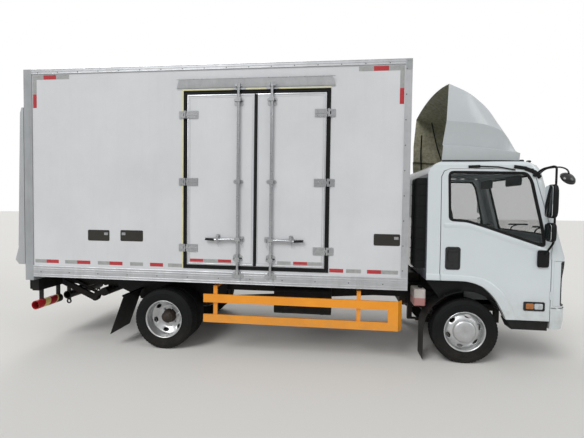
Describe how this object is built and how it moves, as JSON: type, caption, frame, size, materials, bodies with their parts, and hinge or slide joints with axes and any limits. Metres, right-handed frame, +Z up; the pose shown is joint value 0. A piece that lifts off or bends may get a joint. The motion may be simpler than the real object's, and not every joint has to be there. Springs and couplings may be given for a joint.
{
  "type": "refrigerated box truck with tail lift",
  "caption": "Two-axle insulated box truck with cab, side double door, roof deflector and stowed tail lift; wheels roll, front axle steers, doors and lift move.",
  "frame": {"origin": "on the ground, in the middle of the length and width", "axes": "+X forward, +Y to the left, +Z up"},
  "size_m": [7.1536, 2.45, 3.6799],
  "materials": {
    "white_panel": "smooth white gel coat on insulated panel",
    "aluminium_rail": "anodised extrusion",
    "white_paint": "gloss enamel",
    "grey_steel": "satin enamel",
    "black_steel": "satin chassis enamel",
    "guard_paint": "orange enamel",
    "underrun_paint": "striped enamel",
    "stainless": "zinc plated",
    "seal_rubber": "matt",
    "tyre_rubber": "worn",
    "rim_silver": "silver enamel",
    "black_plastic": "grained",
    "tank_plastic": "translucent",
    "glazing": "tinted",
    "lamp_glass": "clear",
    "seat_cloth": "woven"
  },
  "bodies": {
    "chassis": {"air_intake_duct": "black_plastic", "box_edge_rails": "aluminium_rail", "box_floor": "grey_steel", "box_front_wall": "white_panel", "box_left_wall": "white_panel", "box_right_wall": "white_panel", "box_roof": "white_panel", "bumper": "white_paint", "cab_floor": "grey_steel", "cab_front_panel": "white_paint", "cab_pillars": "white_paint", "cab_rear_wall": "white_paint", "cab_roof": "white_paint", "chassis_frame": "black_steel", "coolant_tank": "tank_plastic", "dashboard_and_steering_wheel": "black_plastic", "engine_block": "black_steel", "front_axle_beam": "black_steel", "fuel_tank_and_battery_box": "black_steel", "grille": "black_plastic", "headlamps": "lamp_glass", "leaf_springs": "black_steel", "lift_beam": "black_steel", "mudguards": "black_plastic", "rear_axle_and_shaft": "black_steel", "rear_doors": "white_panel", "rear_lamp_beam": "black_steel", "rear_portal_frame": "grey_steel", "roof_fairing": "white_paint", "seats": "seat_cloth", "side_door_fittings": "stainless", "side_door_frame": "seal_rubber", "side_guards": "guard_paint", "underrun_bar": "underrun_paint", "windscreen": "glazing"},
    "steering_knuckle_right": {"steering_knuckle_right": "black_steel"},
    "steering_knuckle_left": {"steering_knuckle_left": "black_steel"},
    "front_wheel_right": {"front_wheel_right_tyre": "tyre_rubber", "front_wheel_right_rim": "rim_silver"},
    "front_wheel_left": {"front_wheel_left_tyre": "tyre_rubber", "front_wheel_left_rim": "rim_silver"},
    "rear_wheel_right": {"rear_wheel_right_tyres": "tyre_rubber", "rear_wheel_right_rims": "rim_silver"},
    "rear_wheel_left": {"rear_wheel_left_tyres": "tyre_rubber", "rear_wheel_left_rims": "rim_silver"},
    "cab_door_right": {"cab_door_right": "white_paint", "cab_door_right_glass": "glazing", "mirror_right": "black_plastic"},
    "cab_door_left": {"cab_door_left": "white_paint", "cab_door_left_glass": "glazing", "mirror_left": "black_plastic"},
    "side_door_rear": {"side_door_rear": "white_panel", "side_door_rear_hardware": "stainless"},
    "side_door_front": {"side_door_front": "white_panel", "side_door_front_hardware": "stainless"},
    "lift_arms": {"lift_arms": "black_steel"},
    "lift_links": {"lift_links": "black_steel"},
    "lift_knuckles": {"lift_knuckles": "black_steel"},
    "lift_platform": {"lift_platform": "aluminium_rail"}
  },
  "joints": [
    {"name": "steer_right", "type": "hinge", "parent": "chassis", "child": "steering_knuckle_right", "pos_m": [2.384, -0.745, 0.3985], "axis": [0, 0, 1], "range_deg": [-32, 32]},
    {"name": "steer_left", "type": "hinge", "parent": "chassis", "child": "steering_knuckle_left", "pos_m": [2.384, 0.745, 0.3985], "axis": [0, 0, 1], "range_deg": [-32, 32]},
    {"name": "roll_front_right", "type": "hinge", "parent": "steering_knuckle_right", "child": "front_wheel_right", "pos_m": [2.384, -0.8435, 0.3985], "axis": [0, 1, 0], "continuous": true},
    {"name": "roll_front_left", "type": "hinge", "parent": "steering_knuckle_left", "child": "front_wheel_left", "pos_m": [2.384, 0.8435, 0.3985], "axis": [0, 1, 0], "continuous": true},
    {"name": "roll_rear_right", "type": "hinge", "parent": "chassis", "child": "rear_wheel_right", "pos_m": [-1.461, -0.8185, 0.3985], "axis": [0, 1, 0], "continuous": true},
    {"name": "roll_rear_left", "type": "hinge", "parent": "chassis", "child": "rear_wheel_left", "pos_m": [-1.461, 0.8185, 0.3985], "axis": [0, 1, 0], "continuous": true},
    {"name": "cab_door_right_swing", "type": "hinge", "parent": "chassis", "child": "cab_door_right", "pos_m": [3.3275, -1.002, 1.2], "axis": [0, 0, 1], "range_deg": [0, 68]},
    {"name": "cab_door_left_swing", "type": "hinge", "parent": "chassis", "child": "cab_door_left", "pos_m": [3.3275, 1.002, 1.2], "axis": [0, 0, -1], "range_deg": [0, 68]},
    {"name": "side_door_rear_swing", "type": "hinge", "parent": "chassis", "child": "side_door_rear", "pos_m": [-1.1355, -1.154, 2], "axis": [0, 0, -1], "range_deg": [0, 160]},
    {"name": "side_door_front_swing", "type": "hinge", "parent": "chassis", "child": "side_door_front", "pos_m": [0.6775, -1.154, 2], "axis": [0, 0, 1], "range_deg": [0, 160]},
    {"name": "lift_lower", "type": "hinge", "parent": "chassis", "child": "lift_arms", "pos_m": [-2.783, 0, 0.5], "axis": [0, -1, 0], "range_deg": [0, 58]},
    {"name": "lift_link_follow", "type": "hinge", "parent": "chassis", "child": "lift_links", "pos_m": [-2.753, 0, 0.57], "axis": [0, -1, 0], "range_deg": [0, 58]},
    {"name": "lift_knuckle_level", "type": "hinge", "parent": "lift_arms", "child": "lift_knuckles", "pos_m": [-3.513, 0, 0.985], "axis": [0, -1, 0], "range_deg": [-58, 0]},
    {"name": "platform_fold", "type": "hinge", "parent": "lift_knuckles", "child": "lift_platform", "pos_m": [-3.513, 0, 0.985], "axis": [0, -1, 0], "range_deg": [0, 90]}
  ],
  "couplings": [
    {"joint": "steer_left", "follows": "steer_right", "ratio": 1},
    {"joint": "lift_link_follow", "follows": "lift_lower", "ratio": 1},
    {"joint": "lift_knuckle_level", "follows": "lift_lower", "ratio": -1}
  ]
}
